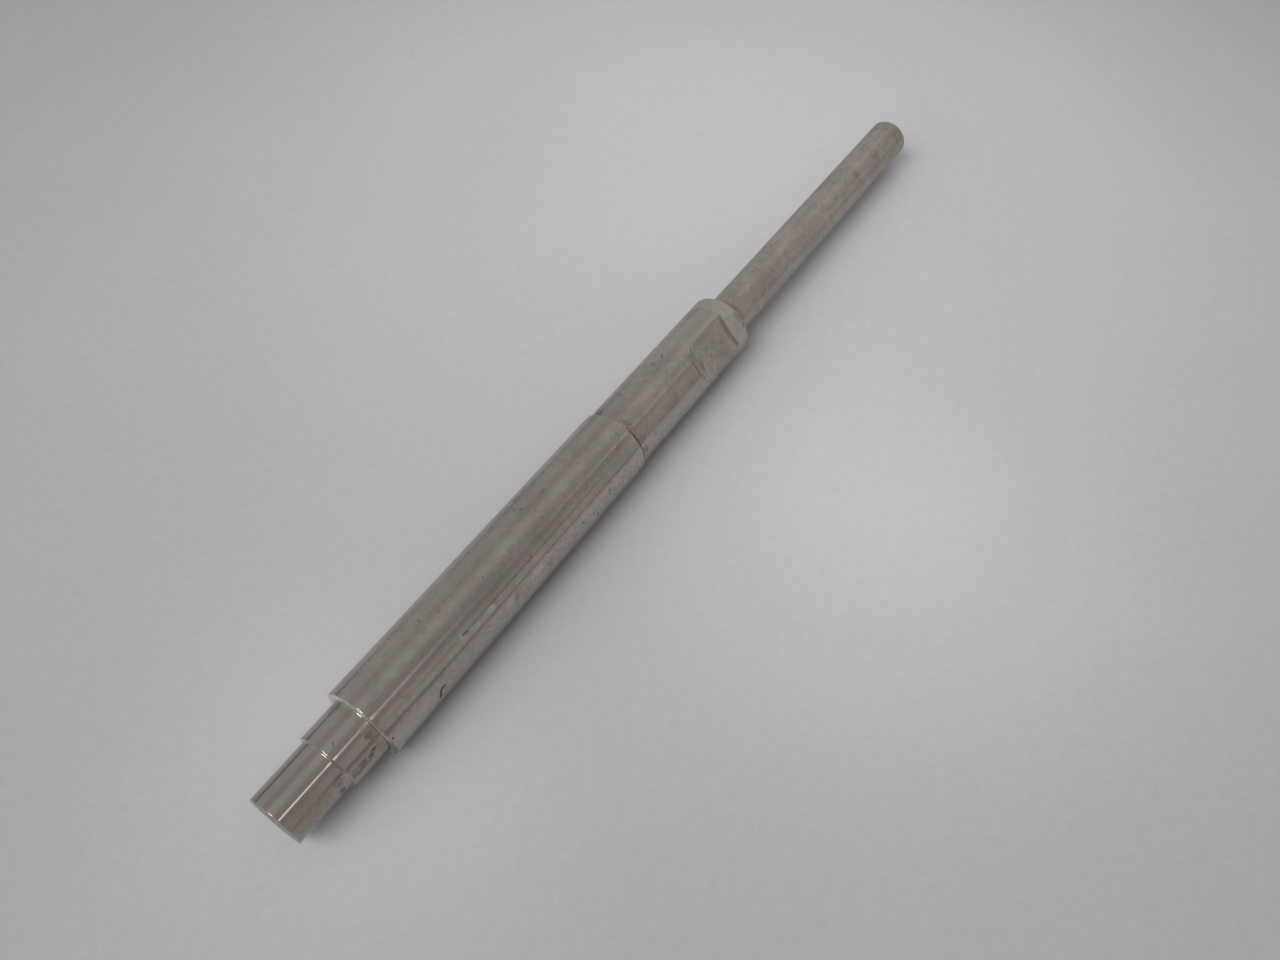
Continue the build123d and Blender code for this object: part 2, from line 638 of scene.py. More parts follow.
@dataclass(frozen=True)
class SteelFinish:
    """Bare steel as one tool left it, with the handling that it has had since.

    Attributes:
        zone: The zone that it dresses.
        grain: The way that the tool's lines run.
        colour: Colour of the clean metal.
        roughness: Roughness of the clean metal.
        metallic: How far it mirrors as metal, and what is left is matt.
        oil: Thickness of the thin oil film on it, from 0 to 1.
        drawn: How far a highlight is drawn out along the axis.
        pitch: Distance between the tool's lines, in millimetres.
        bite: Depth of those lines, in millimetres.
        mottle: Strength of the cloudy light and dark patches.
        film: Share of the surface under a thin brown film.
        freckle: Strength of the fine dark pits.
        grit: Strength of the finest light and dark grain.
        cast: How far its hue drifts from place to place.
        edge: Brightness that it keeps at a grazing view.
        soft_patches: Patches that have a place of their own: dirt, and painted sheen and shade.
    """

    zone: Zone
    grain: Grain = Grain.ROUND
    colour: Colour = (0.409, 0.366, 0.334)
    roughness: float = 0.2
    metallic: float = 1.0
    oil: float = 0.0
    drawn: float = 0.0
    pitch: float = 0.25
    bite: float = 0.001
    mottle: float = 0.1
    film: float = 0.3
    freckle: float = 0.2
    grit: float = 0.03
    cast: float = 0.02
    edge: float = 1.0
    soft_patches: tuple[SoftPatch, ...] = ()

    # Colours and amounts that every finish shares
    FILM: ClassVar[Colour] = (0.30, 0.235, 0.180)
    GRIME: ClassVar[Colour] = (0.012, 0.010, 0.009)
    RIM: ClassVar[Colour] = (0.86, 0.92, 0.91)
    OIL_ROUGHNESS: ClassVar[float] = 0.06
    GRIME_ROUGHNESS: ClassVar[float] = 0.75
    GRIME_MATT_FROM: ClassVar[float] = 0.8
    DIRT_ROUGHENS: ClassVar[float] = 0.25
    LINES_ROUGHEN: ClassVar[float] = 0.025
    LINES_SHADE: ClassVar[float] = 0.025
    LINE_DRIFT: ClassVar[float] = 0.12
    MILLED_DRIFT: ClassVar[float] = 0.35
    FILM_MOST: ClassVar[float] = 0.5

    # Spans of a noise's values over which a look comes in
    NARROW: ClassVar[Pair] = (0.35, 0.65)
    HALVED: ClassVar[Pair] = (0.44, 0.56)
    PEAKS: ClassVar[Pair] = (0.68, 0.76)
    FILM_SPAN: ClassVar[Pair] = (0.62, 0.80)
    FILM_DROP: ClassVar[Pair] = (0.3, 0.1)

    # Patterns that the looks are made of
    LINES: ClassVar[Pattern] = Pattern(1.0, 3.0, 0.6)
    BROAD: ClassVar[Pattern] = Pattern(0.055, 3.0, 0.6, 0.4)
    FINE: ClassVar[Pattern] = Pattern(0.42, 4.0, 0.65)
    GRIT: ClassVar[Pattern] = Pattern(2.2, 2.0, 0.6)
    HUE: ClassVar[Pattern] = Pattern(0.16, 4.0, 0.65)
    FILMED: ClassVar[Pattern] = Pattern(0.22, 5.0, 0.7, 0.4)
    PITS: ClassVar[Pattern] = Pattern(1.6, 2.0, 0.5)
    FRAYED: ClassVar[Pattern] = Pattern(0.6, 3.0, 0.6)
    SPECKS: ClassVar[Pattern] = Pattern(0.8, 3.0, 0.7, 0.5)

    def material(self, place: ShaftPlace) -> bpy.types.Material:
        """Build the finish.

        Args:
            place: The group that gives a point's place on the shaft.

        Returns:
            The material.
        """
        made = bpy.data.materials.new(f"steel_{self.zone.value}")
        graph = Graph.of(made)
        at = place.use(graph)
        lines = self._lines(graph, at)
        colour, dirt_and_painted_light = self._patches(graph, at, lines)
        roughness = graph.maths("ADD", self.roughness, graph.maths("MULTIPLY", dirt_and_painted_light, self.DIRT_ROUGHENS))
        change = graph.rise(lines, *graph.MOST, -self.LINES_ROUGHEN, self.LINES_ROUGHEN)
        roughness = graph.maths("ADD", roughness, change)
        grime = graph.add("ShaderNodeAttribute", attribute_name="grime").outputs["Fac"]
        matt = self.GRIME_MATT_FROM
        feeds = {
            "Base Color": graph.blend(grime, colour, self.GRIME),
            "Metallic": graph.rise(grime, 0.0, matt, self.metallic, 0.0),
            "Specular Tint": tuple(self.edge * part for part in self.RIM),
            "Coat Weight": self.oil,
            "Coat Roughness": self.OIL_ROUGHNESS,
            "Roughness": graph.rise(grime, 0.0, matt, roughness, self.GRIME_ROUGHNESS),
        }
        if self.drawn:
            feeds |= {"Anisotropic": self.drawn, "Tangent": graph.vector(1.0, 0.0, 0.0)}
        bump = graph.add("ShaderNodeBump", {"Strength": 1.0, "Distance": self.bite * MM, "Height": lines})
        feeds["Normal"] = bump.outputs[0]
        graph.show("ShaderNodeOutputMaterial", graph.add("ShaderNodeBsdfPrincipled", feeds))
        return made

    def _lines(self, graph: Graph, at: dict[str, Socket]) -> Socket:
        """Fine lines that the tool left.

        Args:
            graph: The material's graph.
            at: Sockets that give the point's place.

        Returns:
            Height of the lines, from 0 to 1.
        """
        across = graph.maths("DIVIDE", at["Radius" if self.grain is Grain.RINGS else "Station"], self.pitch)
        slow = self.MILLED_DRIFT if self.grain is Grain.ACROSS else self.LINE_DRIFT
        sides = [graph.maths("MULTIPLY", part, slow) for part in graph.split(at["Point"])[1:]]
        return graph.noise(graph.vector(across, *sides), self.LINES)

    def _patches(self, graph: Graph, at: dict[str, Socket], lines: Socket) -> tuple[Socket, Socket]:
        """Colour of the metal with its clouds, film, freckles and soft patches of dirt and painted light.

        Args:
            graph: The material's graph.
            at: Sockets that give the point's place.
            lines: Height of the tool's lines.

        Returns:
            The colour, and how far dirt and painted light cover the point.
        """
        point = at["Point"]
        fine = graph.noise(point, self.FINE)
        grit = graph.noise(point, self.GRIT)
        clouds = graph.sway(graph.noise(point, self.BROAD), graph.MOST, self.mottle)
        for layer, depth in ((fine, self.mottle), (grit, self.grit), (lines, self.LINES_SHADE)):
            clouds = graph.maths("MULTIPLY", clouds, graph.sway(layer, graph.WIDE, depth))
        hue = graph.rise(graph.noise(point, self.HUE), *self.NARROW)
        metal = graph.blend(hue, self._tinted(-self.cast), self._tinted(self.cast))
        span = [value - drop * self.film for value, drop in zip(self.FILM_SPAN, self.FILM_DROP)]
        film = graph.rise(graph.noise(point, self.FILMED), *span, 0.0, self.FILM_MOST)
        colour = graph.blend(film, graph.scaled(metal, clouds), self.FILM)
        pits = graph.rise(graph.noise(point, self.PITS), *self.PEAKS, 0.0, self.freckle)
        colour = graph.blend(pits, colour, self.GRIME)
        dirt_and_painted_light = graph.maths("ADD", film, pits)
        warp = graph.noise(point, self.FRAYED)
        broken = graph.noise(point, self.SPECKS)
        for soft_patch in self.soft_patches:
            share = self._soft_patch(graph, at, soft_patch, warp)
            if soft_patch.specks:
                split = graph.rise(broken, *self.HALVED, 1 - soft_patch.specks, 1.0)
                share = graph.maths("MULTIPLY", share, split)
            colour = graph.blend(share, colour, soft_patch.colour)
            dirt_and_painted_light = graph.maths("MAXIMUM", dirt_and_painted_light, share)
        return colour, dirt_and_painted_light

    def _tinted(self, cast: float) -> Colour:
        """The clean metal's colour, a little pinker where the cast is positive and greener where not."""
        red, green, blue = self.colour
        return red * (1 + cast), green * (1 - cast / 3), blue * (1 + cast / 2)

    def _soft_patch(self, graph: Graph, at: dict[str, Socket], soft_patch: SoftPatch, warp: Socket) -> Socket:
        """How much of one soft patch shows at the point.

        Args:
            graph: The material's graph.
            at: Sockets that give the point's place.
            soft_patch: The patch.
            warp: Noise that frays its edge.

        Returns:
            Its share, from 0 to its strength.
        """
        along = graph.maths("DIVIDE", graph.maths("SUBTRACT", at["Station"], soft_patch.station), soft_patch.length / 2)
        turn = graph.maths("SUBTRACT", at["Roll"], soft_patch.roll)
        round_mm = graph.maths("MULTIPLY", turn, at["Radius"])
        side = graph.maths("MULTIPLY", round_mm, math.radians(1) / (soft_patch.width / 2))
        gap = graph.maths("ADD", graph.maths("MULTIPLY", along, along), graph.maths("MULTIPLY", side, side))
        fray = graph.maths("MULTIPLY", graph.maths("SUBTRACT", warp, 0.5), soft_patch.FRAY * soft_patch.ragged)
        return graph.rise(graph.maths("ADD", gap, fray), soft_patch.RIM, soft_patch.HEART, 0.0, soft_patch.strength)


def put(name: str, data: bpy.types.ID) -> bpy.types.Object:
    """Put a new object into the scene.

    Args:
        name: The object's name.
        data: Its mesh, light or camera.

    Returns:
        The object.
    """
    made = bpy.data.objects.new(name, data)
    bpy.context.scene.collection.objects.link(made)
    return made


@dataclass
class TurnedShaft:
    """The shaft's mesh: a turned outline with milled flats and the knocks of use.

    Attributes:
        sizes: Sizes of the turned steps.
        flats: The wrench flats.
        marks: Knocks of use, pressed into the mesh.
        finishes: One finish for each zone.
        turns: Vertices in a ring.
        pitch: Greatest distance between two rings of a long run.
        fine: Length that the edges near a mark are split down to.
        splits: Most times that they are split.
        crease: Angle above which an edge stays sharp.
    """

    sizes: ShaftSizes = field(default_factory=ShaftSizes)
    flats: WrenchFlats = field(default_factory=WrenchFlats)
    marks: tuple[Mark, ...] = ()
    finishes: tuple[SteelFinish, ...] = ()
    turns: int = 192
    pitch: float = 2.5
    fine: float = 0.16
    splits: int = 6
    crease: float = 24.0

    WELD: ClassVar[float] = 1e-7
    STRAIGHT: ClassVar[float] = math.radians(175)
    MARGIN: ClassVar[float] = 1.3
    SETTLES: ClassVar[float] = 2.5

    def build(self) -> bpy.types.Object:
        """Build and dress the shaft.

        Returns:
            The finished object.
        """
        shape = bmesh.new()
        rings = Outline(self.sizes, self.flats, self.pitch, 360 / self.turns).rings
        self._spin(shape, rings)
        bmesh.ops.remove_doubles(shape, verts=shape.verts[:], dist=self.WELD)
        bmesh.ops.recalc_face_normals(shape, faces=shape.faces[:])
        self._press(shape)
        mesh = bpy.data.meshes.new("shaft_turned")
        for face in shape.faces:
            face.smooth = True
        shape.to_mesh(mesh)
        shape.free()
        mesh.set_sharp_from_angle(angle=math.radians(self.crease))
        piece = put("shaft_turned", mesh)
        self._dress(mesh)
        return piece

    def _rolls(self) -> list[float]:
        """Place the vertices of a ring, with one on each long edge of the flats.

        Returns:
            Their rolls, which every ring shares.
        """
        rolls = [(self.flats.roll + 360 * turn / self.turns) % 360 for turn in range(self.turns)]
        for edge in self.flats.edge_rolls(self.sizes.neck_dia / 2):
            nearest = min(range(self.turns), key=lambda index: abs(rolls[index] - edge))
            rolls[nearest] = edge
        return rolls

    def _spin(self, shape: bmesh.types.BMesh, rings: list[Ring]) -> None:
        """Spin the outline into bands of faces.

        Args:
            shape: The mesh to add to.
            rings: The outline's rings.
        """
        rolls = self._rolls()
        zones = list(Zone)
        last: list[bmesh.types.BMVert] = []
        before: Ring | None = None
        for ring in rings:
            if ring.radius == 0:
                row = [shape.verts.new(self.sizes.place(ring.station, 0, 0))] * self.turns
            else:
                row = [
                    shape.verts.new(self.sizes.place(ring.station, self._radius(ring, roll), roll))
                    for roll in rolls
                ]
            for index in range(self.turns if last else 0):
                after = (index + 1) % self.turns
                corners = (last[index], last[after], row[after], row[index])
                middle = rolls[index] + ((rolls[after] - rolls[index]) % 360) / 2
                for outline, zone in self._cell(before, ring, middle, corners):
                    face = shape.faces.new(list(dict.fromkeys(outline)))
                    face.material_index = zones.index(zone)
            last, before = row, ring

    def _cell(
        self, before: Ring, ring: Ring, middle: float, corners: tuple[bmesh.types.BMVert, ...]
    ) -> list[tuple[tuple[bmesh.types.BMVert, ...], Zone]]:
        """Faces of one cell of a band: two where the edge of a slope crosses it, and one elsewhere.

        Args:
            before: The band's first ring.
            ring: The band's last ring.
            middle: Roll of the cell's middle.
            corners: The cell's corners, the first two on the first ring.

        Returns:
            The corners and the zone of each face.
        """
        neck = self.sizes.neck_dia / 2
        aside = self.flats.aside(middle)
        if ring.zone is not Zone.SLOPE:
            milled = ring.floor is not None or before.floor is not None
            inside = milled and abs(aside) < self.flats.half_angle(neck)
            return [(corners, self._milled_zone(before, ring) if inside else ring.zone)]
        if abs(aside) > self.flats.half_angle(neck, ring.floor):
            return [(corners, Zone.NECK)]
        if abs(aside) < self.flats.half_angle(neck, before.floor or neck):
            return [(corners, Zone.SLOPE)]
        first, second, third, fourth = corners
        if aside > 0:
            return [((first, second, third), Zone.NECK), ((first, third, fourth), Zone.SLOPE)]
        return [((first, second, fourth), Zone.NECK), ((second, third, fourth), Zone.SLOPE)]

    def _milled_zone(self, before: Ring, ring: Ring) -> Zone:
        """Zone of a band inside a flat: its wall, the corner at the wall's foot or its floor.

        Args:
            before: The band's first ring.
            ring: The band's last ring.

        Returns:
            The zone.
        """
        if before.floor is None or ring.floor is None:
            return Zone.FLAT_WALL
        return Zone.FLAT if before.floor == ring.floor else Zone.CORNER

    def _radius(self, ring: Ring, roll: float) -> float:
        """Radius of a ring at a roll, with the flats cut where they reach it."""
        return ring.radius if ring.floor is None else self.flats.clip(ring.radius, roll, ring.floor)

    def _near(self, shape: bmesh.types.BMesh, mark: Mark, margin: float) -> list[bmesh.types.BMVert]:
        """Vertices whose stations lie close to a mark.

        Args:
            shape: The mesh to search.
            mark: The mark.
            margin: How far past the mark's own stations to look.

        Returns:
            Those vertices.
        """
        stations = [knot[0] for knot in mark.path]
        low = self.sizes.place(min(stations) - mark.widest - margin, 0, 0).x
        high = self.sizes.place(max(stations) + mark.widest + margin, 0, 0).x
        return [vert for vert in shape.verts if low <= vert.co.x <= high]

    def _press(self, shape: bmesh.types.BMesh) -> None:
        """Refine the mesh round each mark and press the mark into it.

        Args:
            shape: The mesh to work on.
        """
        grime = shape.verts.layers.float.new("grime")
        for mark in self.marks:
            for _ in range(self.splits):
                edges = self._coarse(shape, mark)
                if not edges:
                    break
                bmesh.ops.subdivide_edges(shape, edges=edges, cuts=1, use_grid_fill=True)
        corners = {face: max(loop.calc_angle() for loop in face.loops) for face in shape.faces}
        bmesh.ops.poke(shape, faces=[face for face, widest in corners.items() if widest > self.STRAIGHT])
        for mark in self.marks:
            for vert in self._near(shape, mark, 0):
                station, radius, roll = self.sizes.locate(vert.co)
                gap = mark.reach(station, roll, radius)
                if radius > 0 and gap < 1:
                    press = (1 - gap * gap) ** 2
                    vert.co = self.sizes.place(station, radius - mark.depth * press, roll)
                    vert[grime] = max(vert[grime], mark.grime * min(1.0, self.SETTLES * press))

    def _coarse(self, shape: bmesh.types.BMesh, mark: Mark) -> list[bmesh.types.BMEdge]:
        """Edges near a mark that are still too long to show it.

        Args:
            shape: The mesh to search.
            mark: The mark.

        Returns:
            Those edges.
        """
        close = {edge: None for vert in self._near(shape, mark, self.pitch) for edge in vert.link_edges}
        found = []
        for edge in close:
            length = edge.calc_length() / MM
            if length < self.fine:
                continue
            station, radius, roll = self.sizes.locate((edge.verts[0].co + edge.verts[1].co) / 2)
            if mark.reach(station, roll, radius) < self.MARGIN + length / 2 / mark.widest:
                found.append(edge)
        return found

    def _dress(self, mesh: bpy.types.Mesh) -> None:
        """Give each zone its finish.

        Args:
            mesh: The finished mesh.
        """
        place = ShaftPlace(self.sizes)
        by_zone = {finish.zone: finish for finish in self.finishes}
        for zone in Zone:
            mesh.materials.append(by_zone[zone].material(place))


@dataclass(frozen=True)
class Band:
    """A lighter or darker band of the room, which runs along the shaft.

    Attributes:
        roll: Angle of its middle, from straight up towards -Y.
        half: Half of its width, in degrees.
        soft: Width of its soft edge, in degrees.
        gain: Share of light added, or taken away where it is negative.
        ends: Cosines to +X between which it shows.
        fade: Width of the fade past those ends.
        tint: Its hue, as a share of the room's own.
    """

    roll: float
    half: float
    soft: float
    gain: float
    ends: Pair = (-1.0, 1.0)
    fade: float = 0.1
    tint: Colour = (1.0, 1.0, 1.0)


def lay_sheet(name: str, corners: list[Place], material: bpy.types.Material) -> bpy.types.Object:
    """Put a flat four-cornered sheet into the scene.

    Args:
        name: The sheet's name.
        corners: Its corners, in order.
        material: What it is made of.

    Returns:
        The sheet.
    """
    mesh = bpy.data.meshes.new(name)
    mesh.from_pydata(corners, [], [(0, 1, 2, 3)])
    mesh.materials.append(material)
    return put(name, mesh)


@dataclass(frozen=True)
class Flag:
    """A low grey card beside the shaft, seen only as a dark line in the metal.

    Attributes:
        aside: Its distance from the shaft, towards +Y.
        height: Height of its top edge.
        foot: Places in X where it starts, is full, starts to narrow and ends.
        gap: Height of its bottom edge.
        colour: Its grey.
    """

    aside: float
    height: float
    foot: tuple[float, float, float, float]
    gap: float = 0.008
    colour: Colour = (0.45, 0.43, 0.42)

    def build(self, name: str) -> bpy.types.Object:
        """Cut the card and stand it on the floor.

        Args:
            name: The card's name.

        Returns:
            The card, marked as part of the studio.
        """
        felt = bpy.data.materials.new(name)
        graph = Graph.of(felt)
        graph.show("ShaderNodeOutputMaterial", graph.add("ShaderNodeBsdfDiffuse", {"Color": self.colour}))
        heights = (self.gap, self.height, self.height, self.gap)
        card = lay_sheet(name, [(x, self.aside, height) for x, height in zip(self.foot, heights)], felt)
        card.visible_camera = False
        card.visible_diffuse = False
        card.visible_shadow = False
        return card


@dataclass(frozen=True)
class Lamp:
    """A flat soft lamp, turned to the middle of the shaft.

    Attributes:
        place: Its place, in metres.
        size: Its two sides, in metres.
        power: Its power, in watts.
        mirrored: Whether it shows in the metal.
        lighting: Whether it lights what is matt.
    """

    place: Place
    size: Pair
    power: float
    mirrored: bool = True
    lighting: bool = True

    def build(self, name: str) -> None:
        """Hang the lamp.

        Args:
            name: The lamp's name.
        """
        data = bpy.data.lights.new(name, "AREA")
        data.shape = "RECTANGLE"
        data.size, data.size_y = self.size
        data.energy = self.power
        lamp = put(name, data)
        lamp.location = self.place
        lamp.rotation_mode = "QUATERNION"
        lamp.rotation_quaternion = (-lamp.location).to_track_quat("-Z", "Y")
        lamp.visible_glossy = self.mirrored
        lamp.visible_diffuse = self.lighting


@dataclass(frozen=True)
class PaintedLightPool:
    """A pool of light painted into the floor's colour.

    Attributes:
        middle: Its middle.
        reach: How far it reaches.
        gain: How much paler the painted light makes its middle.
    """

    middle: Place
    reach: float
    gain: float


@dataclass(frozen=True)
class Studio:
    """Pale floor, soft light and camera.

    Attributes:
        floor_colour: Colour of the floor.
        floor_half: Half of the floor's side.
        floor_level: Brightness of the floor where no painted light is added.
        floor_roughness: Roughness of the floor.
        floor_shine: How strongly the floor mirrors.
        painted_light_pools: Pools of light painted into the floor's colour.
        backdrop: Colour behind the floor, which only the camera sees.
        room_level: Brightness of the room's own light.
        sensor: Width of the camera's sensor, in millimetres.
        lens: Focal length, in millimetres.
        clip: Nearest and farthest distance that the camera sees.
        eye: Place of the camera.
        gaze: Direction that it looks in.
        tones: Roll of a direction in the room, and how light the room is there.
        bands: Lighter and darker bands over those tones.
        key: Lamp that lights the floor and casts the shadow.
        tube: Lamp that is seen only in the metal.
        fill: Wide soft lamp from behind the camera.
        flags: Cards beside the shaft.
        cloud: Broad pattern of the floor.
        cloud_depth: How far that pattern darkens and lightens it, as a share.
        weave: Fine pattern of the floor.
        weave_depth: How far that pattern darkens and lightens it, as a share.
    """

    floor_colour: Colour = (0.490, 0.477, 0.484)
    floor_half: float = 3.0
    floor_level: float = 0.649
    floor_roughness: float = 0.9
    floor_shine: float = 0.1
    # Painted light: paler patches painted into the floor's colour
    painted_light_pools: tuple[PaintedLightPool, ...] = (
        PaintedLightPool((0.230, 0.056, 0.0), 0.351, 0.451),
        PaintedLightPool((-0.002, -0.120, 0.0), 0.092, 0.164),
        PaintedLightPool((-0.191, -0.002, 0.0), 0.066, 0.150),
    )
    backdrop: Colour = (0.455, 0.443, 0.450)
    room_level: float = 1.0
    sensor: float = 36.0
    lens: float = 28.30
    clip: Pair = (0.01, 50.0)
    eye: Place = (-0.24522, -0.15913, 0.35034)
    gaze: Place = (0.48764, 0.33543, -0.80604)
    tones: tuple[Pair, ...] = (
        (-90, 0.44),
        (-62, 0.50),
        (-45, 0.47),
        (-36, 0.43),
        (-27, 0.46),
        (-17, 0.52),
        (-8, 0.545),
        (3, 0.50),
        (11, 0.41),
        (20, 0.38),
        (36, 0.335),
        (47, 0.32),
        (60, 0.39),
        (80, 0.38),
        (95, 0.42),
    )
    bands: tuple[Band, ...] = (
        Band(31.8, 1.0, 3.4, 1.3, (-0.1, 0.06), 0.1, (1.03, 1.0, 1.02)),
        Band(32.8, 0.8, 3.0, 1.2, (-0.1, 0.14), 0.2),
        Band(37.4, 1.0, 2.6, 0.12, (-0.1, 0.14), 0.2),
        Band(32.6, 0.8, 3.0, 0.65, (0.45, 0.62), 0.04),
        Band(66.6, 1.2, 2.5, -0.2, (0.18, 0.42), 0.06),
        Band(68.0, 14.0, 12.0, 0.22, (0.16, 0.29), 0.05),
        Band(82.0, 9.0, 5.0, 0.22, (0.32, 0.46), 0.04),
        Band(68.0, 14.0, 12.0, 0.06, (0.5, 1.0), 0.04),
        Band(40.0, 12.0, 40.0, 0.34, (0.62, 1.0), 0.35),
        Band(-50.0, 40.0, 35.0, 0.16, (0.68, 1.0), 0.14),
        Band(-100.0, 45.0, 25.0, 0.0, (-1.0, 0.14), 0.1, (0.94, 1.0, 0.99)),
        Band(-32.0, 6.0, 10.0, -0.08, (-0.2, 0.15), 0.1, (1.06, 0.98, 1.01)),
        Band(-10.0, 5.0, 9.0, 0.0, (-0.2, 0.2), 0.1, (0.95, 1.01, 1.0)),
        Band(38.0, 16.0, 14.0, 0.0, (-0.2, 0.15), 0.1, (1.05, 0.99, 1.01)),
    )
    key: Lamp = Lamp((-1.5, 0.04, 2.35), (1.6, 0.8), 31.0, mirrored=False)
    tube: Lamp = Lamp((-1.5, 0.15, 2.35), (0.8, 0.4), 15.0, lighting=False)
    fill: Lamp = Lamp((-2.6, 0.6, 1.6), (3.0, 2.6), 60.0, mirrored=False)
    flags: tuple[Flag, ...] = (
        Flag(0.20, 0.054, (-0.62, -0.60, -0.205, -0.11), 0.025),
        Flag(-0.19, 0.051, (-0.245, -0.185, -0.15, -0.075)),
    )
    cloud: Pattern = Pattern(9.0, 3.0)
    cloud_depth: float = 0.01
    weave: Pattern = Pattern(260.0, 4.0, 0.7)
    weave_depth: float = 0.03

    def build(self) -> None:
        """Put up the whole studio."""
        scene = bpy.context.scene
        scene.view_settings.view_transform = "Standard"
        self._camera()
        self._room()
        self._floor()
        for name, lamp in (("key", self.key), ("tube", self.tube), ("fill", self.fill)):
            lamp.build(name)
        for number, flag in enumerate(self.flags, 1):
            flag.build(f"flag_{number}")

    def _camera(self) -> None:
        """The camera, level and looking down at the shaft."""
        data = bpy.data.cameras.new("camera")
        data.sensor_width = self.sensor
        data.lens = self.lens
        data.clip_start, data.clip_end = self.clip
        camera = put("camera", data)
        camera.location = self.eye
        camera.rotation_mode = "QUATERNION"
        camera.rotation_quaternion = Vector(self.gaze).to_track_quat("-Z", "Y")
        bpy.context.scene.camera = camera

    def _room(self) -> None:
        """The room's own soft light, which the metal mirrors, and a plain backdrop behind the floor."""
        world = bpy.data.worlds.new("room")
        bpy.context.scene.world = world
        graph = Graph.of(world)
        along, side, rise = graph.split(graph.add("ShaderNodeTexCoord").outputs["Generated"])
        roll = graph.maths("DEGREES", graph.maths("ARCTAN2", graph.maths("MULTIPLY", side, -1.0), rise))
        share = graph.maths("DIVIDE", graph.maths("ADD", roll, 180.0), 360.0)
        ramp = graph.add("ShaderNodeValToRGB", {0: share})
        stops = ramp.color_ramp.elements
        for index, (angle, level) in enumerate(self.tones):
            place = (angle + 180) / 360
            stop = stops[index] if index < 2 else stops.new(place)
            stop.position = place
            stop.color = (level, level, level, 1)
        light = ramp.outputs[0]
        for band in self.bands:
            light = self._band(graph, band, along, roll, light)
        seen = graph.add("ShaderNodeLightPath").outputs["Is Camera Ray"]
        colour = graph.blend(seen, light, self.backdrop)
        back = graph.add("ShaderNodeBackground", {"Color": colour, "Strength": self.room_level})
        graph.show("ShaderNodeOutputWorld", back)

    def _band(self, graph: Graph, band: Band, along: Socket, roll: Socket, light: Socket) -> Socket:
        """Lay one band over the room's light.

        Args:
            graph: The room's graph.
            band: The band.
            along: Cosine of the direction to +X.
            roll: Roll of the direction.
            light: The light so far.

        Returns:
            The light with the band.
        """
        off = graph.maths("ABSOLUTE", graph.maths("SUBTRACT", roll, band.roll))
        share = graph.rise(off, band.half + band.soft, band.half)
        low, high = band.ends
        share = graph.maths("MULTIPLY", share, graph.rise(along, low - band.fade, low))
        share = graph.maths("MULTIPLY", share, graph.rise(along, high + band.fade, high))
        factor = tuple(part * (1 + band.gain) for part in band.tint)
        gained = graph.add("ShaderNodeVectorMath", {0: light, 1: factor}, operation="MULTIPLY")
        return graph.blend(share, light, gained.outputs[0])

    def _floor(self) -> None:
        """The floor that the shaft lies on, with paler patches of painted light in its colour."""
        paper = bpy.data.materials.new("paper")
        graph = Graph.of(paper)
        where = graph.add("ShaderNodeTexCoord").outputs["Object"]
        # Painted light: the floor's colour is made paler in each pool, where more light falls
        reach = self.floor_level
        for pool in self.painted_light_pools:
            away = graph.add("ShaderNodeVectorMath", {0: where, 1: pool.middle}, operation="DISTANCE")
            far = graph.maths("POWER", graph.maths("DIVIDE", away.outputs["Value"], pool.reach), 2.0)
            share = graph.maths("EXPONENT", graph.maths("MULTIPLY", far, -1.0))
            reach = graph.maths("ADD", reach, graph.maths("MULTIPLY", share, pool.gain))
        cloud = graph.sway(graph.noise(where, self.cloud), graph.MOST, self.cloud_depth)
        weave = graph.sway(graph.noise(where, self.weave), graph.WIDE, self.weave_depth)
        level = graph.maths("MULTIPLY", graph.maths("MULTIPLY", cloud, weave), reach)
        feeds = {
            "Base Color": graph.scaled(self.floor_colour, level),
            "Roughness": self.floor_roughness,
            "Specular IOR Level": self.floor_shine,
        }
        graph.show("ShaderNodeOutputMaterial", graph.add("ShaderNodeBsdfPrincipled", feeds))
        half = self.floor_half
        corners = [(-half, -half, 0), (half, -half, 0), (half, half, 0), (-half, half, 0)]
        lay_sheet("floor", corners, paper)


def make_marks() -> tuple[Mark, ...]:
    """List the knocks of use, each where it lies on the shaft.

    Returns:
        The marks, with the gouge first.
    """
    gouge = ((64.6, 90, 0.8), (65.2, 83, 0.8), (66, 78.6, 0.75), (68, 78, 0.6))
    return (
        Mark(gouge, 0.3, 0.8),
        Mark(((27.9, 15.5, 0.32), (28.9, 8.5, 0.32)), 0.03, 0.82),
        Mark(((0.1, -5, 0.3),), 0.1, 0.6),
        Mark(((42.4, 69, 0.6),), 0.04, 0.85),
        Mark(((45.5, -12, 0.5),), 0.02, 0.7),
        Mark(((78.2, -14.5, 0.5), (77.9, -9.5, 0.5)), 0.03, 0.8),
        Mark(((84, 45.5, 0.25), (86.5, 46.6, 0.25)), 0.04),
        Mark(((105, 14, 0.6),), 0.02, 0.8),
        Mark(((125, 20, 0.5),), 0.02, 0.7),
        Mark(((132, -2.5, 0.7),), 0.03, 0.78),
        Mark(((135.2, -21.5, 0.8),), 0.03, 0.82),
        Mark(((136.4, -12.5, 0.6), (137.4, -10.5, 0.6)), 0.03, 0.8),
        Mark(((138.6, 19.5, 0.7),), 0.03, 0.78),
        Mark(((139.6, 6, 0.6),), 0.03, 0.8),
        Mark(((150.5, 72, 0.5), (152, 77, 0.4)), 0.03, 0.3),
        Mark(((157.6, 78, 0.8),), 0.03, 0.5),
        Mark(((159.6, 88, 1),), 0.03, 0.7),
        Mark(((166.8, 5.5, 0.5),), 0.02, 0.8),
        Mark(((169.6, 70.5, 0.6), (168.4, 75, 0.5)), 0.03, 0.7),
        Mark(((229, -18, 0.6),), 0.02, 0.5),
        Mark(((236.9, -20, 0.35), (234.2, -13, 0.6)), 0.04, 0.8),
        Mark(((245.3, -7, 0.8),), 0.03, 0.65),
    )


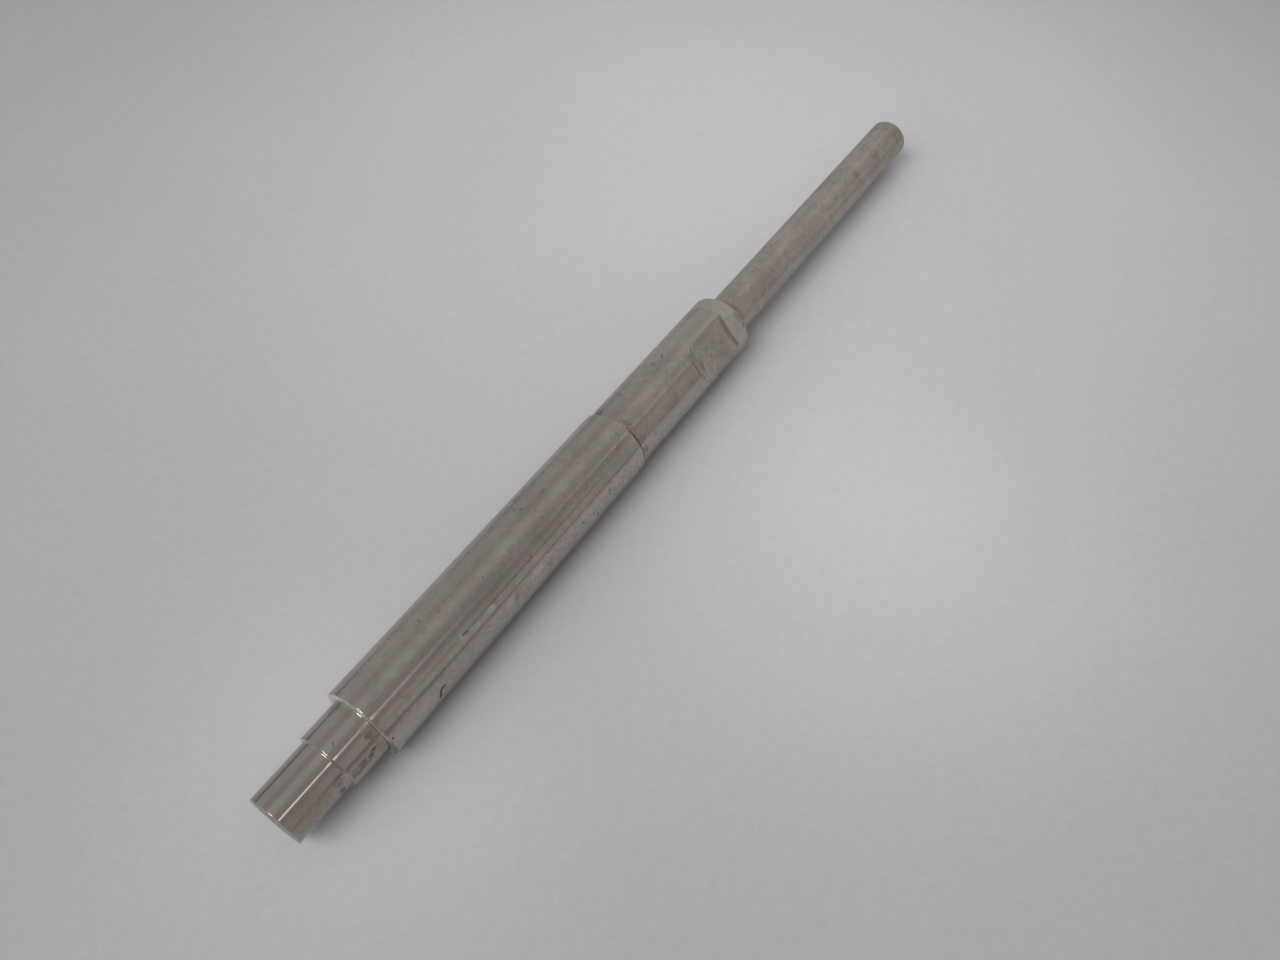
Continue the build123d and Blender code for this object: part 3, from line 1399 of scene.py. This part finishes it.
def seat_finishes(dirt_and_painted_light: DirtAndPaintedLight) -> tuple[SteelFinish, ...]:
    """Finishes of the near end, up to the body's shoulder.

    Args:
        dirt_and_painted_light: Colours of the dirt, and of the painted sheen and shade.

    Returns:
        The finishes.
    """
    spigot_stains_and_sheen = (
        # Painted sheen: a pale band near roll -40 lightens the metal's reflection there
        SoftPatch(12, -40, 24, 3.6, dirt_and_painted_light.bright, 0.3, 0.3),
        SoftPatch(11, 74, 22, 11, dirt_and_painted_light.haze, 0.9, 0.6, 0.15),
        SoftPatch(11, 78, 19, 8, dirt_and_painted_light.mud, 0.22, 0.8, 1),
        SoftPatch(10, 44, 14, 3, dirt_and_painted_light.brown, 0.18, 0.8, 0.5),
        SoftPatch(20.4, 90, 2.4, 4.4, dirt_and_painted_light.olive, 0.7, 0.6, 0.2),
        SoftPatch(22.4, 56.5, 4.6, 1.1, dirt_and_painted_light.olive, 0.5, 0.4, 0.3),
        SoftPatch(20.8, 66, 4, 3, dirt_and_painted_light.mud, 0.3, 0.8, 0.3),
        SoftPatch(17, 84, 3.2, 3.4, dirt_and_painted_light.bright, 0.25, 0.6, 0.5),
    )
    journal_stains_and_sheen = (
        # Painted sheen: a pale band near roll -40 lightens the metal's reflection there
        SoftPatch(30, -40, 11, 3.6, dirt_and_painted_light.bright, 0.3, 0.3),
        SoftPatch(38.9, 4, 2.6, 17, dirt_and_painted_light.straw, 0.35, 0.5, 0.5),
        SoftPatch(38.6, -38, 5, 8, dirt_and_painted_light.brown, 0.25, 0.6, 0.3),
        SoftPatch(38.9, 40, 4.6, 12, dirt_and_painted_light.haze, 0.7, 0.5, 0.1),
        SoftPatch(38.8, 46, 4.4, 5, dirt_and_painted_light.brown, 0.25, 0.7, 0.3),
        SoftPatch(37.8, 44.5, 3.2, 3.2, dirt_and_painted_light.rust, 0.4, 0.8),
        SoftPatch(32, 74, 14, 6, dirt_and_painted_light.haze, 0.6, 0.6, 0.2),
        SoftPatch(38.6, 80, 4.4, 9, dirt_and_painted_light.dull, 0.55, 0.7, 0.4),
        SoftPatch(26.6, 72.5, 3.2, 2, dirt_and_painted_light.olive, 0.68, 0.9, 0.5),
        SoftPatch(30.6, 73, 3.8, 2.5, dirt_and_painted_light.olive, 0.75, 0.9, 0.5),
        SoftPatch(34.2, 73.5, 3.4, 2, dirt_and_painted_light.olive, 0.8, 0.5, 0.1),
        SoftPatch(36, 68, 2.8, 1.3, dirt_and_painted_light.olive, 0.85, 0.4),
        SoftPatch(29.6, 79.5, 10.5, 1.2, dirt_and_painted_light.olive, 0.78, 0.6, 0.3),
        SoftPatch(29, 67.2, 7.5, 0.6, dirt_and_painted_light.olive, 0.45, 0.8, 0.6),
        SoftPatch(31, 74.5, 12.5, 4.6, dirt_and_painted_light.dull, 0.3, 0.8, 0.3),
    )
    edge_stains = (
        SoftPatch(24.3, 42, 2.4, 7.5, dirt_and_painted_light.brown, 0.5, 0.6, 0.3),
        SoftPatch(41.1, 46, 2.6, 8, dirt_and_painted_light.brown, 0.5, 0.5, 0.2),
        SoftPatch(41.1, 92, 2.6, 13, dirt_and_painted_light.mud, 0.75, 0.6, 0.3),
    )
    polish = {"drawn": 0.4, "mottle": 0.03, "film": 0.15, "freckle": 0.1, "edge": 1.08}
    return (
        SteelFinish(Zone.CENTRE, Grain.RINGS, roughness=0.4, film=0.8),
        SteelFinish(Zone.END_FACE, Grain.RINGS, roughness=0.32, pitch=0.35, bite=0.004),
        SteelFinish(Zone.SPIGOT, roughness=0.09, soft_patches=spigot_stains_and_sheen, **polish),
        SteelFinish(Zone.JOURNAL, roughness=0.1, soft_patches=journal_stains_and_sheen, **polish),
        SteelFinish(Zone.SHOULDER, Grain.RINGS, (0.47, 0.43, 0.39), 0.14, bite=0.0001, soft_patches=edge_stains),
        SteelFinish(Zone.FACE, Grain.RINGS, (0.42, 0.38, 0.35), 0.4, 0.3, bite=0.002, soft_patches=edge_stains),
    )


def body_finishes(dirt_and_painted_light: DirtAndPaintedLight) -> tuple[SteelFinish, ...]:
    """Finishes of the body and of the relief behind it.

    Args:
        dirt_and_painted_light: Colours of the dirt, and of the painted sheen and shade.

    Returns:
        The finishes.
    """
    body_stains_and_painted_light = (
        # Painted sheen: pale bands near roll -40 and roll 76 lighten the metal's reflection there, in specks
        # along the lower side
        SoftPatch(53, -40, 26, 5, dirt_and_painted_light.bright, 0.3, 0.3),
        SoftPatch(122, 76, 210, 9, dirt_and_painted_light.bright, 0.56, 0.4, 1),
        SoftPatch(52, 76, 30, 12, dirt_and_painted_light.bright, 0.3, 0.5, 0.2),
        SoftPatch(88, -42, 72, 8, dirt_and_painted_light.bright, 0.38, 0.5, 0.2),
        SoftPatch(138, 36, 110, 11, dirt_and_painted_light.brown, 0.13, 0.8, 0.5),
        # Painted reflection: a thin dark line along roll 46.3
        SoftPatch(122, 46.3, 96, 0.9, dirt_and_painted_light.dark_reflection_line, 0.27, 0.4, 0.4),
        SoftPatch(83.3, 46, 2.2, 3.4, dirt_and_painted_light.bright, 0.55, 0.7, 0.3),
        SoftPatch(98.6, 51.5, 4.4, 2.8, dirt_and_painted_light.bright, 0.85, 0.2),
        SoftPatch(91, 52, 3, 2, dirt_and_painted_light.bright, 0.4, 0.7),
        SoftPatch(106, 68, 5, 4, dirt_and_painted_light.bright, 0.6, 0.5, 0.2),
        SoftPatch(122.3, 68, 6, 3.8, dirt_and_painted_light.bright, 0.6, 0.5, 0.2),
        SoftPatch(110, 71, 3.6, 3, dirt_and_painted_light.brown, 0.35, 0.8, 0.3),
        SoftPatch(129.8, 77, 4.4, 4.6, dirt_and_painted_light.straw, 0.35, 0.7),
        SoftPatch(147.9, -7, 3.2, 1.5, dirt_and_painted_light.rust, 0.26, 0.5),
        SoftPatch(141, -36, 5, 3.4, dirt_and_painted_light.rust, 0.2, 0.8),
        SoftPatch(110.8, -33, 2.4, 2.2, dirt_and_painted_light.brown, 0.3, 0.6),
        SoftPatch(85.1, 0.5, 1.6, 1.3, dirt_and_painted_light.rust, 0.28, 0.4),
        SoftPatch(124, 43, 2, 3, dirt_and_painted_light.mud, 0.22, 0.7),
        SoftPatch(151, 74, 4, 2.6, dirt_and_painted_light.mud, 0.25, 0.8, 0.5),
        SoftPatch(191, -36, 4.5, 4, dirt_and_painted_light.straw, 0.4, 0.8),
    )
    # Olive dirt in the relief groove, with painted shade in the groove as well
    relief_grime_and_shade = (
        SoftPatch(193.8, 46, 2.4, 9.5, dirt_and_painted_light.olive, 0.8, 0.5),
        SoftPatch(193.8, -36, 2.4, 5, dirt_and_painted_light.olive, 0.8, 0.5),
    )
    return (
        SteelFinish(
            Zone.BODY, roughness=0.14, drawn=0.5, mottle=0.06, film=0.4, freckle=0.5, edge=1.06,
            soft_patches=body_stains_and_painted_light,
        ),
        SteelFinish(Zone.RELIEF, Grain.RINGS, (0.33, 0.285, 0.25), 0.6, 0.5, film=0.5, soft_patches=relief_grime_and_shade),
    )


def neck_finishes(dirt_and_painted_light: DirtAndPaintedLight) -> tuple[SteelFinish, ...]:
    """Finishes of the neck, its wrench flats and its collar.

    Args:
        dirt_and_painted_light: Colours of the dirt, and of the painted sheen and shade.

    Returns:
        The finishes.
    """
    neck_stains_and_sheen = (
        # Painted sheen: pale bands near roll -32, 84 and -8 lighten the metal's reflection there
        SoftPatch(242, -32, 56, 8, dirt_and_painted_light.bright, 0.42, 0.4),
        SoftPatch(222, 84, 64, 10, dirt_and_painted_light.bright, 0.42, 0.4, 0.5),
        SoftPatch(259, -8, 38, 13, dirt_and_painted_light.bright, 0.28, 0.4),
        SoftPatch(195.4, -38, 4.6, 5, dirt_and_painted_light.mud, 0.42, 0.8),
        SoftPatch(196, -33, 2.4, 1.8, dirt_and_painted_light.rust, 0.3, 0.6),
        SoftPatch(195.6, 20, 3.6, 9, dirt_and_painted_light.mud, 0.45, 0.6, 1),
        SoftPatch(196, 54, 6.4, 3.8, dirt_and_painted_light.mud, 0.36, 0.8, 0.2),
        SoftPatch(196.2, 76, 4.6, 4.4, dirt_and_painted_light.mud, 0.48, 0.8, 0.2),
        SoftPatch(229, -18, 3.4, 3, dirt_and_painted_light.dull, 0.5, 0.7),
        SoftPatch(228.6, 11, 3.4, 2.8, dirt_and_painted_light.straw, 0.3, 0.7),
        SoftPatch(218, 45, 48, 8, dirt_and_painted_light.brown, 0.1, 0.6, 0.4),
    )
    # A darker line along the top edge of the slope, at the lip of each flat
    lip_darkening = (
        SoftPatch(242.6, 24, 1.6, 3.2, dirt_and_painted_light.mud, 0.42, 0.6),
        SoftPatch(241.3, 33, 1.3, 3.6, dirt_and_painted_light.brown, 0.5, 0.4),
        SoftPatch(240.6, 45, 1.2, 4.6, dirt_and_painted_light.mud, 0.42, 0.4),
        SoftPatch(240.9, 56, 1.2, 4.2, dirt_and_painted_light.mud, 0.4, 0.4),
        SoftPatch(242.2, 68, 1.4, 3.4, dirt_and_painted_light.mud, 0.5, 0.4),
    )
    flat_stains_and_foot_shade = (
        # Painted shade at the foot of the slope, pinkish, with a browner patch beside it that is partly dirt
        SoftPatch(246.8, 50, 3.4, 3.8, dirt_and_painted_light.pink_shade, 0.36, 0.7),
        SoftPatch(246.4, 58, 2, 3.6, dirt_and_painted_light.brown, 0.3, 0.6, 0.2),
        SoftPatch(258, 66, 7, 4.5, dirt_and_painted_light.straw, 0.2, 0.8),
    )
    collar_stains_and_highlight = (
        # Painted highlight: a pale stripe along the collar near roll 2.5
        SoftPatch(275, 2.5, 9, 2.4, dirt_and_painted_light.bright, 0.4, 0.3),
        SoftPatch(276.8, 38, 3.2, 6, dirt_and_painted_light.dull, 0.35, 0.7),
        SoftPatch(277.4, 57, 3, 3, dirt_and_painted_light.brown, 0.4, 0.6),
        SoftPatch(279, 22, 1.4, 16, dirt_and_painted_light.dull, 0.5, 0.3),
    )
    return (
        SteelFinish(
            Zone.NECK, roughness=0.2, oil=0.1, drawn=0.4, mottle=0.08, film=0.5, freckle=0.4, edge=0.93,
            soft_patches=neck_stains_and_sheen + lip_darkening,
        ),
        SteelFinish(
            Zone.FLAT, Grain.ACROSS, (0.468, 0.423, 0.388), 0.45, pitch=0.5, bite=0.003, film=0.55,
            soft_patches=flat_stains_and_foot_shade,
        ),
        # Painted light: the slope is coloured paler than the flat's floor because it faces the light
        SteelFinish(
            Zone.SLOPE, Grain.ACROSS, (0.50, 0.452, 0.415), 0.42, pitch=0.5, bite=0.003, film=0.4,
            soft_patches=flat_stains_and_foot_shade + lip_darkening,
        ),
        SteelFinish(Zone.FLAT_WALL, Grain.RINGS, (0.29, 0.266, 0.248), 0.5, 0.2, film=0.2),
        SteelFinish(Zone.CORNER, Grain.RINGS, (0.40, 0.36, 0.325), 0.5, film=0.4),
        SteelFinish(
            Zone.COLLAR, colour=(0.495, 0.446, 0.412), roughness=0.38, film=0.2, soft_patches=collar_stains_and_highlight
        ),
    )


def rod_finishes(dirt_and_painted_light: DirtAndPaintedLight) -> tuple[SteelFinish, ...]:
    """Finish of the plain rod.

    Args:
        dirt_and_painted_light: Colours of the dirt, and of the painted sheen and shade.

    Returns:
        The finish.
    """
    soft_patches = (
        # Dirt at the rod's root, with painted shade in the corner beside the collar's face
        SoftPatch(283.6, 10, 3, 9, dirt_and_painted_light.dull, 0.5, 0.6),
        SoftPatch(283.7, 48, 3, 11, dirt_and_painted_light.brown, 0.26, 0.6),
        # Painted sheen: pale bands near roll -36 lighten the metal's reflection there
        SoftPatch(354, -34, 56, 6.5, dirt_and_painted_light.bright, 0.42, 0.4),
        SoftPatch(420, -37, 60, 5, dirt_and_painted_light.bright, 0.3, 0.4),
        SoftPatch(304, -38, 36, 4, dirt_and_painted_light.bright, 0.22, 0.4),
        SoftPatch(312, 28, 66, 15, dirt_and_painted_light.brown, 0.13, 0.8, 0.5),
        SoftPatch(352, 20, 30, 16, (0.45, 0.38, 0.36), 0.3, 0.8, 0.5),
        SoftPatch(418, 25, 66, 15, dirt_and_painted_light.brown, 0.09, 0.8, 0.5),
        # Painted reflection: a pale band on the rod's lower side, near roll 92
        SoftPatch(366, 92, 170, 5, dirt_and_painted_light.bright, 0.25, 0.4),
        SoftPatch(403, 28, 5, 3.6, dirt_and_painted_light.straw, 0.5, 0.8),
        SoftPatch(423, 36, 6, 4.6, dirt_and_painted_light.straw, 0.4, 0.8),
        SoftPatch(447, 18, 12, 14, dirt_and_painted_light.brown, 0.17, 0.8),
    )
    rod = (0.458, 0.410, 0.374)
    return (
        SteelFinish(
            Zone.ROD, colour=rod, roughness=0.3, drawn=0.3, mottle=0.07, film=0.6, edge=0.88, soft_patches=soft_patches
        ),
    )


def make_finishes() -> tuple[SteelFinish, ...]:
    """Finish of every zone."""
    dirt_and_painted_light = DirtAndPaintedLight()
    return seat_finishes(dirt_and_painted_light) + body_finishes(dirt_and_painted_light) + neck_finishes(dirt_and_painted_light) + rod_finishes(dirt_and_painted_light)


def main() -> None:
    """Build the shaft in its studio and report it."""
    logging.basicConfig(level=logging.INFO, format="%(name)s: %(message)s")
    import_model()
    Studio().build()
    shaft = TurnedShaft(marks=make_marks(), finishes=make_finishes())
    piece = shaft.build()
    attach(piece, "root")
    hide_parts("shaft")
    log.info("%s: %d faces, %d finishes", piece.name, len(piece.data.polygons), len(piece.data.materials))


if __name__ == "__main__":
    main()
